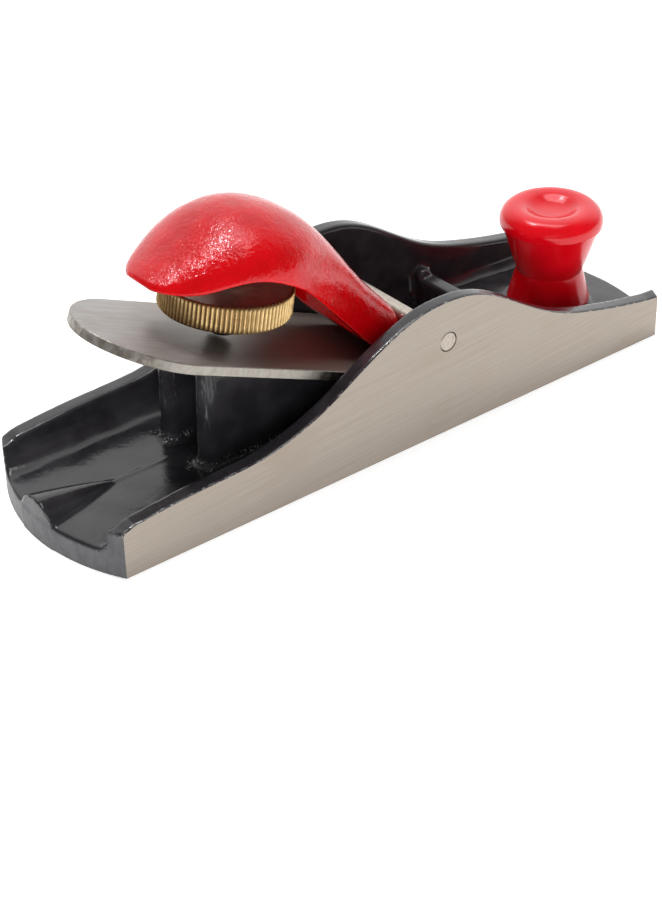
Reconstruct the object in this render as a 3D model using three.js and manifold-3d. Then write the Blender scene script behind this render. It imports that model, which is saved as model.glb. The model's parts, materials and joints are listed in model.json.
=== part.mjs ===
// A low-angle-style block plane: a cast body with two humped cheeks, a cross pin, a flat iron,
// a hollow lever cap with its thumb screw, and a turned front knob. Millimetres, +Z up.
// +X points to the toe, the sole lies on z = 0, and the origin is at the middle of the sole.
import * as THREE from 'three';
import { ConvexGeometry } from 'three/addons/geometries/ConvexGeometry.js';
import { mergeVertices } from 'three/addons/utils/BufferGeometryUtils.js';
import Module from 'manifold-3d';

const wasm = await Module();
wasm.setup();

// ---- driving dimensions -------------------------------------------------------------------
const LENGTH = 178;            // toe to heel over both curved ends
const WIDTH = 51;              // over the ground cheeks
const END_BULGE = 7.1;         // how far each curved end stands out of the straight sides
const WALL = 4.3;              // cheek thickness
const FLOOR = 6.3;             // thickness of the sole plate behind the mouth
const GAP = 0.3;               // running gap left between touching pieces

const BED_ANGLE = THREE.MathUtils.degToRad(23.2);
const IRON_TOP_AT_ORIGIN = 17.18;   // height of the iron's top face at x = 0
const IRON_THICKNESS = 2.4;
const IRON_WIDTH = 39;
const IRON_EDGE = 37.5;        // cutting edge, measured down the bed from x = 0
const IRON_TAIL = -78.6;       // tip of the rounded tail, measured the same way
const BEVEL_LENGTH = 4.7;
const EDGE_LAND = 0.1;

const MOUTH_FRONT = 38.2;
const BULKHEAD_BACK = 39.3;
const BULKHEAD_FRONT = 44;
const BULKHEAD_TOP = 13.5;

const RIB_MIDDLE = 7.6;        // half the spacing of the two bed ribs
const RIB_SHIFT = 0.5;         // the casting carries both ribs a little to its left
const RIB_HALF = 2.35;         // half a rib's thickness
const RIB_NOSE_X = -48.3;

const PIN_X = 10.3;
const PIN_Z = 24.8;
const PIN_RADIUS = 2.45;

const CAP_TIP_X = -58;
const CAP_WIDEST_X = -30;
const CAP_HALF_WIDTH = 18.2;
const NECK_X = -6;             // from here forward the cap's neck keeps its width
const NECK_HALF_WIDTH = 12.6;
const CAP_WALL = 3;
const TONGUE_TIP_X = 28.8;

const WHEEL_TILT = THREE.MathUtils.degToRad(10);
const WHEEL_CENTRE = new THREE.Vector3(-35.2, 0, 39.7);   // middle of the wheel's lower face
const WHEEL_RADIUS = 15.6;
const WHEEL_THICKNESS = 6.5;
const WHEEL_TEETH = 90;
const SCREW_RADIUS = 3;
const SCREW_NOSE = 6;          // radius of the screw's round lower end
const SCREW_ABOVE = 11.5;      // screw end above the wheel
const BOSS_RADIUS = 6;
const BOSS_CLEARANCE = 4.5;    // open height between the wheel and the cap's threaded boss
const BOSS_HOLE_DEPTH = 15.8;  // roof of the threaded hole above the wheel

const KNOB_X = 67.7;
const KNOB_SEAT = 4.7;         // flat seat in the toe floor
const KNOB_SEAT_RADIUS = 11.3;
const STUD_RADIUS = 2.5;

// ---- helpers ------------------------------------------------------------------------------
function solid(geometry) {
  geometry.deleteAttribute('normal');
  geometry.deleteAttribute('uv');
  const merged = mergeVertices(geometry, 1e-4);
  return new wasm.Manifold(new wasm.Mesh({
    numProp: 3,
    vertProperties: new Float32Array(merged.attributes.position.array),
    triVerts: new Uint32Array(merged.index.array),
  }));
}

function toGeometry(manifold) {
  const mesh = manifold.getMesh();
  const geometry = new THREE.BufferGeometry();
  geometry.setAttribute('position', new THREE.BufferAttribute(new Float32Array(mesh.vertProperties), 3));
  geometry.setIndex(new THREE.BufferAttribute(new Uint32Array(mesh.triVerts), 1));
  return geometry;
}

function shapeOf(points) {
  return new THREE.Shape(points.map(([a, b]) => new THREE.Vector2(a, b)));
}

// A side outline in x and z, as thick as y runs from -half to +half.
function acrossBody(points, half) {
  const geometry = new THREE.ExtrudeGeometry(shapeOf(points), { depth: 2 * half, bevelEnabled: false });
  return solid(geometry.rotateX(Math.PI / 2).translate(0, half, 0));
}

// A plan outline in x and y, standing from low to high.
function upFrom(shape, low, high, curveSegments = 12) {
  const options = { depth: high - low, bevelEnabled: false, curveSegments };
  return solid(new THREE.ExtrudeGeometry(shape, options).translate(0, 0, low));
}

function uprightCylinder(radius, x, y, low, high, sides = 48) {
  const geometry = new THREE.CylinderGeometry(radius, radius, high - low, sides);
  return solid(geometry.rotateX(Math.PI / 2).translate(x, y, (low + high) / 2));
}

function ironTopAt(x) {
  return IRON_TOP_AT_ORIGIN - x * Math.tan(BED_ANGLE);
}

// Height of the body's bed, just under the iron.
function bedAt(x) {
  return ironTopAt(x) - (IRON_THICKNESS + GAP) / Math.cos(BED_ANGLE);
}

function mesh(name, geometry, color, roughness, metalness) {
  const material = new THREE.MeshStandardMaterial({ color, roughness, metalness });
  const part = new THREE.Mesh(geometry, material);
  part.name = name;
  return part;
}

// ---- body casting -------------------------------------------------------------------------
function planOutline() {
  const half = WIDTH / 2;
  const radius = (half * half + END_BULGE * END_BULGE) / (2 * END_BULGE);
  const sweep = Math.asin(half / radius);
  const centre = LENGTH / 2 - radius;
  const shape = new THREE.Shape();
  shape.absarc(centre, 0, radius, -sweep, sweep, false);
  shape.absarc(-centre, 0, radius, Math.PI - sweep, Math.PI + sweep, false);
  return shape;
}

// Both cheeks share one side outline: low at toe and heel, with a smooth hump over the pin.
function cheekOutline() {
  const hump = new THREE.SplineCurve([
    [-79, 13.4], [-66, 14], [-52, 14.6], [-43, 15.4], [-35, 17.5], [-27, 20.6], [-17, 26.3],
    [-5, 32.5], [3, 35.1], [10, 35.7], [17, 35], [25, 32], [33, 27.2], [41, 22.3], [49, 18.6],
    [58, 15.9], [69, 13.4], [79, 11.6],
  ].map(([x, z]) => new THREE.Vector2(x, z)));
  const top = hump.getPoints(54).map((p) => [p.x, p.y]);
  const end = LENGTH / 2 + 1;
  return [[-end, 0], [end, 0], [end, 10.9], ...top.reverse(), [-82, 11.6], [-end, 11.3]];
}

function channel() {
  const end = LENGTH / 2 + 2;
  return acrossBody([
    [-end, FLOOR], [BULKHEAD_BACK, FLOOR], [BULKHEAD_BACK, BULKHEAD_TOP],
    [BULKHEAD_FRONT, BULKHEAD_TOP], [BULKHEAD_FRONT + 0.8, 6], [52, 5.7], [end, 3.2],
    [end, 40], [-end, 40],
  ], WIDTH / 2 - WALL);
}

// The bed's slope through the sole plate and the mouth ahead of it.
function mouth() {
  const bedStart = (IRON_TOP_AT_ORIGIN - FLOOR) / Math.tan(BED_ANGLE)
    - (IRON_THICKNESS + GAP) / Math.sin(BED_ANGLE);
  const bedEnd = bedStart + FLOOR / Math.tan(BED_ANGLE);
  return acrossBody([
    [bedStart - 2, FLOOR + 0.5], [bedStart, FLOOR], [bedEnd, 0], [bedEnd, -1], [MOUTH_FRONT, -1],
    [MOUTH_FRONT, 0], [BULKHEAD_BACK, FLOOR], [BULKHEAD_BACK, FLOOR + 0.5],
  ], IRON_WIDTH / 2 + 0.9);
}

function bedRib(side) {
  const middle = side * RIB_MIDDLE + RIB_SHIFT;
  const front = 20;
  const shape = new THREE.Shape();
  shape.absarc(RIB_NOSE_X + RIB_HALF, middle, RIB_HALF, Math.PI / 2, 3 * Math.PI / 2, false);
  shape.lineTo(front, middle - RIB_HALF);
  shape.lineTo(front, middle + RIB_HALF);
  const column = upFrom(shape, FLOOR - 1, 45, 10);
  const underBed = acrossBody([[-60, 0], [front, 0], [front, bedAt(front)], [-60, bedAt(-60)]], 12);
  return column.intersect(underBed);
}

// A low half cone that dies out forward from the middle of the heel.
function heelHump() {
  const radius = 7.56;
  const low = 3.44;
  const points = [new THREE.Vector3(-68, 0, FLOOR + 0.1), new THREE.Vector3(-68, 0, 3)];
  for (let i = 0; i <= 24; i += 1) {
    const angle = Math.PI * i / 24;
    points.push(new THREE.Vector3(-90, radius * Math.cos(angle), low + radius * Math.sin(angle)));
  }
  return solid(new ConvexGeometry(points));
}

function planeBody() {
  const blank = upFrom(planOutline(), 0, 36, 32);
  let body = blank.intersect(acrossBody(cheekOutline(), WIDTH));
  body = body.subtract(channel());
  body = body.add(heelHump().intersect(blank));
  body = body.add(bedRib(1)).add(bedRib(-1));
  body = body.subtract(mouth());
  body = body.add(uprightCylinder(KNOB_SEAT_RADIUS, KNOB_X, 0, 1, KNOB_SEAT));
  body = body.subtract(uprightCylinder(KNOB_SEAT_RADIUS, KNOB_X, 0, KNOB_SEAT, 8));
  body = body.subtract(uprightCylinder(STUD_RADIUS + GAP, KNOB_X, 0, 1.4, 6, 24));
  const pinHole = new THREE.CylinderGeometry(PIN_RADIUS + GAP, PIN_RADIUS + GAP, 60, 32);
  return toGeometry(body.subtract(solid(pinHole.translate(PIN_X, 0, PIN_Z))));
}

function crossPin() {
  const chamfer = 0.35;
  const half = WIDTH / 2 - 0.05;
  const profile = [
    [0, -half], [PIN_RADIUS - chamfer, -half], [PIN_RADIUS, -half + chamfer],
    [PIN_RADIUS, half - chamfer], [PIN_RADIUS - chamfer, half], [0, half],
  ].map(([r, y]) => new THREE.Vector2(r, y));
  return toGeometry(solid(new THREE.LatheGeometry(profile, 32)));
}

// ---- iron, in its own frame: x down the bed, z square to its top face ------------------------
function cuttingIron() {
  const half = IRON_WIDTH / 2;
  const shape = new THREE.Shape();
  shape.moveTo(IRON_EDGE, -half);
  shape.lineTo(IRON_EDGE, half);
  shape.lineTo(-60, half);
  shape.bezierCurveTo(-70, half, IRON_TAIL, 10, IRON_TAIL, 0);
  shape.bezierCurveTo(IRON_TAIL, -10, -70, -half, -60, -half);
  const plate = upFrom(shape, -IRON_THICKNESS, 0, 20);
  const side = acrossBody([
    [-90, -IRON_THICKNESS - 1], [IRON_EDGE + 1, -IRON_THICKNESS - 1],
    [IRON_EDGE + 1, -IRON_THICKNESS + EDGE_LAND], [IRON_EDGE, -IRON_THICKNESS + EDGE_LAND],
    [IRON_EDGE - BEVEL_LENGTH, 0], [IRON_EDGE - BEVEL_LENGTH, 1], [-90, 1],
  ], half + 1);
  return toGeometry(plate.intersect(side));
}

// ---- lever cap ------------------------------------------------------------------------------
// Stations from the tip of the palm end to the shoulder behind the pin: x, rim height, crest height.
const CAP_STATIONS = [
  [-58, 53.8, 55.0], [-51, 53.2, 57.9], [-44, 54.2, 61.2], [-37, 53.9, 64.3], [-30, 50.9, 64.9],
  [-23, 45.6, 62.8], [-16, 38.1, 58.1], [-9, 30.4, 50.2], [-2, 22.4, 40.2], [7.55, 14.9, 28.8],
];

function capHalfWidth(x) {
  if (x < CAP_WIDEST_X) {
    const back = (x - CAP_WIDEST_X) / (CAP_TIP_X - 0.6 - CAP_WIDEST_X);
    return CAP_HALF_WIDTH * Math.sqrt(1 - back * back);
  }
  const along = THREE.MathUtils.clamp((x - CAP_WIDEST_X) / (NECK_X - CAP_WIDEST_X), 0, 1);
  return NECK_HALF_WIDTH + (CAP_HALF_WIDTH - NECK_HALF_WIDTH) * (1 + Math.cos(Math.PI * along)) / 2;
}

// The section is a superellipse that grows squarer towards the neck.
function sectionPower(x) {
  return THREE.MathUtils.mapLinear(THREE.MathUtils.clamp(x, -35, 7), -35, 7, 2, 3.2);
}

// A dome lofted over the stations, inset all round by the given wall, with a floor below its rim.
function capDome(fromX, toX, inset, drop) {
  const curve = new THREE.CatmullRomCurve3(CAP_STATIONS.map(([x, rim, crest]) => new THREE.Vector3(x, rim, crest)));
  const across = 20;
  const rings = curve.getPoints(42).filter((p) => p.x >= fromX - 1e-6 && p.x <= toX + 1e-6).map((p) => {
    const half = Math.max(capHalfWidth(p.x) - inset, 0.8);
    const rise = Math.max(p.z - p.y - inset, 0.8);
    const ring = [];
    for (let i = 0; i <= across; i += 1) {
      const angle = Math.PI * i / across;
      const power = 2 / sectionPower(p.x);
      const side = Math.sign(Math.cos(angle)) * Math.abs(Math.cos(angle)) ** power;
      ring.push([p.x, -half * side, p.y + rise * Math.abs(Math.sin(angle)) ** power]);
    }
    ring.push([p.x, half, p.y - drop], [p.x, -half, p.y - drop]);
    return ring;
  });
  return solid(loft(rings));
}

// Skins a row of closed rings and shuts both ends with a fan.
function loft(rings) {
  const count = rings[0].length;
  const positions = rings.flat(2);
  const index = [];
  for (let r = 0; r < rings.length - 1; r += 1) {
    for (let i = 0; i < count; i += 1) {
      const a = r * count + i;
      const b = r * count + (i + 1) % count;
      index.push(a, a + count, b, b, a + count, b + count);
    }
  }
  const last = (rings.length - 1) * count;
  for (let i = 1; i < count - 1; i += 1) {
    index.push(0, i, i + 1, last, last + i + 1, last + i);
  }
  const geometry = new THREE.BufferGeometry();
  geometry.setAttribute('position', new THREE.Float32BufferAttribute(positions, 3));
  geometry.setIndex(index);
  return geometry;
}

// Side outline of the hook: shoulder behind the pin, seat under it, and the tongue on the iron.
function tongueOutline() {
  const seat = PIN_RADIUS + GAP;
  const outline = [[PIN_X - seat, 31], [PIN_X - seat, PIN_Z]];
  const end = Math.PI * 1.5 - BED_ANGLE;
  for (let i = 1; i <= 5; i += 1) {
    const angle = THREE.MathUtils.mapLinear(i, 0, 5, Math.PI, end);
    outline.push([PIN_X + seat * Math.cos(angle), PIN_Z + seat * Math.sin(angle)]);
  }
  const [seatX, seatZ] = outline[outline.length - 1];
  const level = (x) => seatZ - (x - seatX) * Math.tan(BED_ANGLE);
  const rest = (x) => ironTopAt(x) + GAP / Math.cos(BED_ANGLE);
  outline.push([13, level(13)], [20, 14.6], [TONGUE_TIP_X - 0.8, 7.9], [TONGUE_TIP_X, 6.9]);
  outline.push([TONGUE_TIP_X, rest(TONGUE_TIP_X)], [24, rest(24)], [23, rest(23) + 1.1], [4, rest(4) + 1.1]);
  outline.push([-5, rest(-5) + 4], [-5, 31]);
  return outline;
}

function tonguePlan() {
  const shape = new THREE.Shape();
  shape.moveTo(-6, -NECK_HALF_WIDTH);
  shape.lineTo(12, -NECK_HALF_WIDTH);
  shape.bezierCurveTo(18, -NECK_HALF_WIDTH, 20, -15, 25, -15.5);
  shape.quadraticCurveTo(TONGUE_TIP_X, -15.5, TONGUE_TIP_X, -13);
  shape.lineTo(TONGUE_TIP_X, 13);
  shape.quadraticCurveTo(TONGUE_TIP_X, 15.5, 25, 15.5);
  shape.bezierCurveTo(20, 15, 18, NECK_HALF_WIDTH, 12, NECK_HALF_WIDTH);
  shape.lineTo(-6, NECK_HALF_WIDTH);
  return shape;
}

// A cylinder on the thumb screw's tilted axis, between two heights above the wheel's lower face.
function onScrewAxis(radius, low, high, sides = 32) {
  const geometry = new THREE.CylinderGeometry(radius, radius, high - low, sides);
  geometry.rotateX(Math.PI / 2).translate(0, 0, (low + high) / 2).rotateY(WHEEL_TILT);
  return solid(geometry.translate(WHEEL_CENTRE.x, WHEEL_CENTRE.y, WHEEL_CENTRE.z));
}

function leverCap() {
  const shoulder = PIN_X - PIN_RADIUS - GAP;
  const outer = capDome(CAP_TIP_X, shoulder, 0, 0);
  const hollow = capDome(CAP_TIP_X + 3, -4, CAP_WALL, 4);
  const hook = acrossBody(tongueOutline(), 20).intersect(upFrom(tonguePlan(), 0, 40, 8));
  const behind = acrossBody([[-70, -5], [shoulder, -5], [shoulder, 80], [-70, 80]], 30);
  const ahead = acrossBody([[shoulder, -5], [60, -5], [60, 80], [shoulder, 80]], 30);
  const boss = onScrewAxis(BOSS_RADIUS, WHEEL_THICKNESS + BOSS_CLEARANCE, 26).intersect(outer);
  let cap = outer.subtract(hollow).add(boss);
  cap = cap.add(hook.intersect(behind).intersect(outer)).add(hook.intersect(ahead));
  return toGeometry(cap.subtract(onScrewAxis(SCREW_RADIUS + GAP, 0, WHEEL_THICKNESS + BOSS_HOLE_DEPTH)));
}

// ---- thumb wheel and screw, in their own frame: z up the screw, 0 at the wheel's lower face ---
function thumbWheel() {
  const tooth = 0.45;
  const points = [];
  for (let i = 0; i < WHEEL_TEETH; i += 1) {
    for (const [part, radius] of [[0, WHEEL_RADIUS - tooth], [0.3, WHEEL_RADIUS], [0.7, WHEEL_RADIUS]]) {
      const angle = 2 * Math.PI * (i + part) / WHEEL_TEETH;
      points.push([radius * Math.cos(angle), radius * Math.sin(angle)]);
    }
  }
  const knurl = upFrom(shapeOf(points), 0, WHEEL_THICKNESS);
  const bore = SCREW_RADIUS + GAP;
  const chamfer = 0.5;
  const profile = [
    [bore, 0], [WHEEL_RADIUS - chamfer, 0], [WHEEL_RADIUS + 0.1, chamfer + 0.1],
    [WHEEL_RADIUS + 0.1, WHEEL_THICKNESS - chamfer - 0.1], [WHEEL_RADIUS - chamfer, WHEEL_THICKNESS],
    [bore, WHEEL_THICKNESS], [bore, 0],
  ].map(([r, z]) => new THREE.Vector2(r, z));
  const disc = solid(new THREE.LatheGeometry(profile, WHEEL_TEETH).rotateX(Math.PI / 2));
  return toGeometry(knurl.intersect(disc));
}

// Where the round nose has its centre, so that it clears the iron's top face by the gap.
function noseCentre() {
  const wheelAboveIron = (WHEEL_CENTRE.z - ironTopAt(WHEEL_CENTRE.x)) * Math.cos(BED_ANGLE);
  return (SCREW_NOSE + GAP - wheelAboveIron) / Math.cos(BED_ANGLE - WHEEL_TILT);
}

function wheelScrew() {
  const top = WHEEL_THICKNESS + SCREW_ABOVE;
  const centre = noseCentre();
  const profile = [];
  for (let i = 0; i <= 5; i += 1) {
    const radius = SCREW_RADIUS * i / 5;
    profile.push(new THREE.Vector2(radius, centre - Math.sqrt(SCREW_NOSE ** 2 - radius ** 2)));
  }
  profile.push(new THREE.Vector2(SCREW_RADIUS, top - 0.6));
  profile.push(new THREE.Vector2(SCREW_RADIUS - 0.6, top), new THREE.Vector2(0, top));
  return toGeometry(solid(new THREE.LatheGeometry(profile, 32).rotateX(Math.PI / 2)));
}

// ---- front knob, in its own frame: z up its axis, 0 at the seat in the toe floor ---------------
function frontKnob() {
  const hole = STUD_RADIUS + GAP;
  const profile = [
    [hole, GAP], [10.2, GAP], [10.8, GAP + 0.7], [10.35, 2.9], [8.65, 10], [10.6, 16.3], [12.6, 22.5],
    [13.1, 22.6], [13.3, 23.1], [13.3, 24.3], [12.9, 25.6], [12, 26.8], [10.7, 27.6], [9.2, 27.9],
    [7.7, 27.75], [6.4, 27.15], [4.8, 26.2], [2.6, 25.65], [0, 25.55], [0, 18], [hole, 16.5], [hole, GAP],
  ].map(([r, z]) => new THREE.Vector2(r, z));
  return toGeometry(solid(new THREE.LatheGeometry(profile, 48).rotateX(Math.PI / 2)));
}

function knobStud() {
  const low = 1.4 + GAP - KNOB_SEAT;
  const profile = [
    [0, low], [STUD_RADIUS - 0.4, low], [STUD_RADIUS, low + 0.4], [STUD_RADIUS, 14.6],
    [STUD_RADIUS - 0.6, 15.2], [0, 15.2],
  ].map(([r, z]) => new THREE.Vector2(r, z));
  return toGeometry(solid(new THREE.LatheGeometry(profile, 24).rotateX(Math.PI / 2)));
}

// ---- assembly -------------------------------------------------------------------------------
const plane = new THREE.Group();

plane.add(mesh('plane_body', planeBody(), 0x15161a, 0.3, 0.2));

const pin = mesh('cross_pin', crossPin(), 0xa9a59b, 0.4, 1);
pin.position.set(PIN_X, 0, PIN_Z);
plane.add(pin);

const onBed = new THREE.Group();
onBed.position.z = IRON_TOP_AT_ORIGIN;
onBed.rotation.y = BED_ANGLE;
onBed.add(mesh('cutting_iron', cuttingIron(), 0x9c9a94, 0.42, 1));
plane.add(onBed);

plane.add(mesh('lever_cap', leverCap(), 0xb4080f, 0.25, 0));

const onScrew = new THREE.Group();
onScrew.position.copy(WHEEL_CENTRE);
onScrew.rotation.y = WHEEL_TILT;
onScrew.add(mesh('thumb_wheel', thumbWheel(), 0xb08a4a, 0.32, 1));
onScrew.add(mesh('wheel_screw', wheelScrew(), 0x55524d, 0.5, 1));
plane.add(onScrew);

const onSeat = new THREE.Group();
onSeat.position.set(KNOB_X, 0, KNOB_SEAT);
onSeat.add(mesh('front_knob', frontKnob(), 0xb80a18, 0.18, 0));
onSeat.add(mesh('knob_stud', knobStud(), 0x7d7a74, 0.5, 1));
plane.add(onSeat);

export default plane;
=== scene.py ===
"""The block plane's looks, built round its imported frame.

Shapes are worked out in millimetres on the frame's own axes (+X to the toe, +Z up from the sole),
and turned into metres when a mesh is made.
"""
import json
import math

import bmesh
import bpy
import numpy as np
from mathutils import Matrix, Vector


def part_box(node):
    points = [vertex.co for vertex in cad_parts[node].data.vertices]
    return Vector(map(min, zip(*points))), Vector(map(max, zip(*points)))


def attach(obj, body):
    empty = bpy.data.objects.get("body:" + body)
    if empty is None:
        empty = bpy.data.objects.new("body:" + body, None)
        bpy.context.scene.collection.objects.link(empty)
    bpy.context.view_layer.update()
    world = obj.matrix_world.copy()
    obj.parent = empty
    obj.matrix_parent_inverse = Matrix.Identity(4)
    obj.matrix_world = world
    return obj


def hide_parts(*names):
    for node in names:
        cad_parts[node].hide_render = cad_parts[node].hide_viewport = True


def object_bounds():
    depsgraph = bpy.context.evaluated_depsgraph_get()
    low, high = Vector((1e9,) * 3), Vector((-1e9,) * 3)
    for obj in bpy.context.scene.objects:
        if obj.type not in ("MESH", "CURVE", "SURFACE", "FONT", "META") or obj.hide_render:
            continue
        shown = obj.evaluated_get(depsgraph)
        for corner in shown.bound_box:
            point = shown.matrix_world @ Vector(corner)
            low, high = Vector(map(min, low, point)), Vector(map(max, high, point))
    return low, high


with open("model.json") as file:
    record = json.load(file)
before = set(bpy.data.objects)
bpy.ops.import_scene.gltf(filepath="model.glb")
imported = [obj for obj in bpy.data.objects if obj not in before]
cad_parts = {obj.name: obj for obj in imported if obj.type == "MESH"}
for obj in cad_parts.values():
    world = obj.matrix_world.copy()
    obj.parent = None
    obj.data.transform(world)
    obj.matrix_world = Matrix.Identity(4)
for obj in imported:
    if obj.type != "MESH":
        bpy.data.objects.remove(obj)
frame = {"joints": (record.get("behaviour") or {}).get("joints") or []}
cad_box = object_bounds()

MM_PER_M = 1000


# ---- places, from the frame ----
def box_mm(node):
    low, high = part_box(node)
    return np.array(low) * MM_PER_M, np.array(high) * MM_PER_M


def joint(name):
    return next(j for j in frame["joints"] if j["name"] == name)


_, body_high = box_mm("plane_body")
pin_low, pin_high = box_mm("cross_pin")
iron_low, iron_high = box_mm("cutting_iron")
cap_low, cap_high = box_mm("lever_cap")
knob_low, knob_high = box_mm("front_knob")
stud_low, stud_high = box_mm("knob_stud")

GAP = 0.3    # gap that the frame leaves between touching pieces

# body casting
HALF_LENGTH = body_high[0]
HALF_WIDTH = body_high[1]
END_BULGE = 7.1    # how far each curved end stands out of the straight sides
END_RADIUS = (HALF_WIDTH ** 2 + END_BULGE ** 2) / (2 * END_BULGE)
END_CENTRE = HALF_LENGTH - END_RADIUS
INNER_HALF = HALF_WIDTH - 4.3   # inner face of each cheek
FLOOR = 6.3
SKIN = 0.45    # cast skin ground off the cheeks

# cross pin
PIN_X, _, PIN_Z = (pin_low + pin_high) / 2
PIN_RADIUS = (pin_high[2] - pin_low[2]) / 2

# iron: u runs down the bed, w square to the iron's top face
bed_axis = joint("iron_slide")["axis"]
BED_ANGLE = math.atan2(-bed_axis[2], bed_axis[0])
BED_COS, BED_SIN = math.cos(BED_ANGLE), math.sin(BED_ANGLE)
RIB_NOSE_X, RIB_FRONT = -48.3, 20   # rear and front ends of the two bed ribs
RIB_SHIFT, RIB_MIDDLE = 0.5, 7.6    # their middles lie RIB_MIDDLE either side of y = RIB_SHIFT
RIB_HALF = 2.35
IRON_THICKNESS = 2.4
EDGE_LAND, BEVEL_LENGTH = 0.1, 4.7  # the ground bevel at the cutting edge
IRON_HALF = iron_high[1]
IRON_TAIL = (iron_low[0] + IRON_THICKNESS * BED_SIN) / BED_COS
IRON_EDGE = (iron_high[0] + (IRON_THICKNESS - EDGE_LAND) * BED_SIN) / BED_COS
IRON_TOP = iron_high[2] + IRON_TAIL * BED_SIN   # height of its top face at x = 0

# thumb wheel and its screw
wheel_joint = joint("wheel_turn")
WHEEL_AXIS = Vector(wheel_joint["axis"]).normalized()
WHEEL_BASE = Vector(wheel_joint["pos_m"]) * MM_PER_M   # middle of the wheel's lower face
WHEEL_RADIUS = box_mm("thumb_wheel")[1][1]
WHEEL_THICKNESS = 6.5
SCREW_RADIUS = 3.0
PITCH = 1.0

# front knob
KNOB_X = (knob_low[0] + knob_high[0]) / 2
KNOB_SEAT = knob_low[2] - GAP
STUD_RADIUS = (stud_high[0] - stud_low[0]) / 2


# ---- mesh helpers ----
def link(name, data, place=None):
    made = bpy.data.objects.new(name, data)
    bpy.context.scene.collection.objects.link(made)
    if place is not None:
        made.matrix_world = place
    return made


def finish_object(name, mesh, materials, place, sharp_over):
    """A smooth-shaded object from a mesh in metres; edges sharper than the angle stay crisp."""
    for material in materials:
        mesh.materials.append(material)
    mesh.shade_smooth()
    mesh.set_sharp_from_angle(angle=math.radians(sharp_over))
    mesh.validate()
    return link(name, mesh, place)


def object_from(name, vertices, faces, materials, place=None, sharp_over=35):
    """The same from millimetre vertices and a list of faces."""
    mesh = bpy.data.meshes.new(name)
    mesh.from_pydata((np.asarray(vertices) / MM_PER_M).tolist(), [], faces)
    return finish_object(name, mesh, materials, place, sharp_over)


def object_from_bmesh(name, bm, materials, place=None, sharp_over=35):
    """The same from a bmesh in millimetres, whose faces already carry their material numbers."""
    bmesh.ops.scale(bm, vec=(1 / MM_PER_M,) * 3, verts=bm.verts)
    mesh = bpy.data.meshes.new(name)
    bm.to_mesh(mesh)
    bm.free()
    return finish_object(name, mesh, materials, place, sharp_over)


def stands_for(piece, node, body):
    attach(piece, body)
    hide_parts(node)


SPLINE_ROWS, TABLE_STEP = 2400, 0.1
ON_AXIS = 1e-9    # a lathe profile's end this near the axis closes in a point


def natural_spline(points):
    """A smooth curve through points of rising x, unbent at its ends, as a pair of tables."""
    xs, ys = np.array(points, float).T
    n = len(xs)
    gaps = np.diff(xs)
    matrix = np.eye(n)
    right = np.zeros(n)
    for i in range(1, n - 1):
        matrix[i, i - 1:i + 2] = gaps[i - 1], 2 * (gaps[i - 1] + gaps[i]), gaps[i]
        right[i] = 6 * ((ys[i + 1] - ys[i]) / gaps[i] - (ys[i] - ys[i - 1]) / gaps[i - 1])
    bend = np.linalg.solve(matrix, right)
    x = np.linspace(xs[0], xs[-1], SPLINE_ROWS)
    i = np.clip(np.searchsorted(xs, x) - 1, 0, n - 2)
    before, after, gap = x - xs[i], xs[i + 1] - x, gaps[i]
    y = (bend[i] * after ** 3 + bend[i + 1] * before ** 3) / (6 * gap)
    left, ahead = ys[i] / gap - bend[i] * gap / 6, ys[i + 1] / gap - bend[i + 1] * gap / 6
    return x, y + (left * after + ahead * before)


def smoothed(x, y, width):
    """The same table with its corners eased over a given width."""
    even = np.arange(x[0], x[-1], TABLE_STEP)
    reach = int(3 * width / TABLE_STEP)
    weight = np.exp(-0.5 * (np.arange(-reach, reach + 1) * TABLE_STEP / width) ** 2)
    height = np.interp(even, x, y)
    padded = np.concatenate([np.full(reach, height[0]), height, np.full(reach, height[-1])])
    return even, np.convolve(padded, weight / weight.sum(), "valid")


def ring_quads(rows, around):
    """Quads between rows of points that run round an axis."""
    faces = []
    for row in range(rows - 1):
        for i in range(around):
            a, b = row * around + i, row * around + (i + 1) % around
            faces.append((a, b, b + around, a + around))
    return faces


def lathe(name, profile, materials, place, around, shape=None, sharp_over=35):
    """Turns a profile of (radius, height) round z. shape(radius, height, angle) may move points."""
    profile = np.array(profile, float)
    angle = np.arange(around) * 2 * math.pi / around
    radius = np.repeat(profile[:, :1], around, 1)
    height = np.repeat(profile[:, 1:], around, 1)
    angles = np.repeat(angle[None], len(profile), 0)
    if shape is not None:
        radius, height = shape(radius, height, angles)
    grid = np.stack([radius * np.cos(angles), radius * np.sin(angles), height], -1)
    first, last = profile[0, 0] < ON_AXIS, profile[-1, 0] < ON_AXIS
    start, end = (1 if first else 0), (len(profile) - 1 if last else len(profile))
    vertices = list(grid[start:end].reshape(-1, 3))
    faces = ring_quads(end - start, around)
    if first:
        vertices.append((0, 0, profile[0, 1]))
        faces += [(len(vertices) - 1, (i + 1) % around, i) for i in range(around)]
    if last:
        vertices.append((0, 0, profile[-1, 1]))
        ring = (end - start - 1) * around
        faces += [(len(vertices) - 1, ring + i, ring + (i + 1) % around) for i in range(around)]
    return object_from(name, vertices, faces, materials, place, sharp_over)


def eased(points, per_piece):
    """A Catmull-Rom curve through (radius, height) points. A repeated point is a crisp corner."""
    out = []
    points = [np.array(p, float) for p in points]
    for i in range(len(points) - 1):
        a, b = points[i], points[i + 1]
        if np.allclose(a, b):
            continue
        before = points[i - 1] if i > 0 else a
        after = points[i + 2] if i + 2 < len(points) else b
        bend = 2 * before - 5 * a + 4 * b - after
        twist = 3 * a - before - 3 * b + after
        for t in np.arange(per_piece) / per_piece:
            out.append(0.5 * (2 * a + (b - before) * t + bend * t ** 2 + twist * t ** 3))
    out.append(points[-1])
    return out


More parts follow.
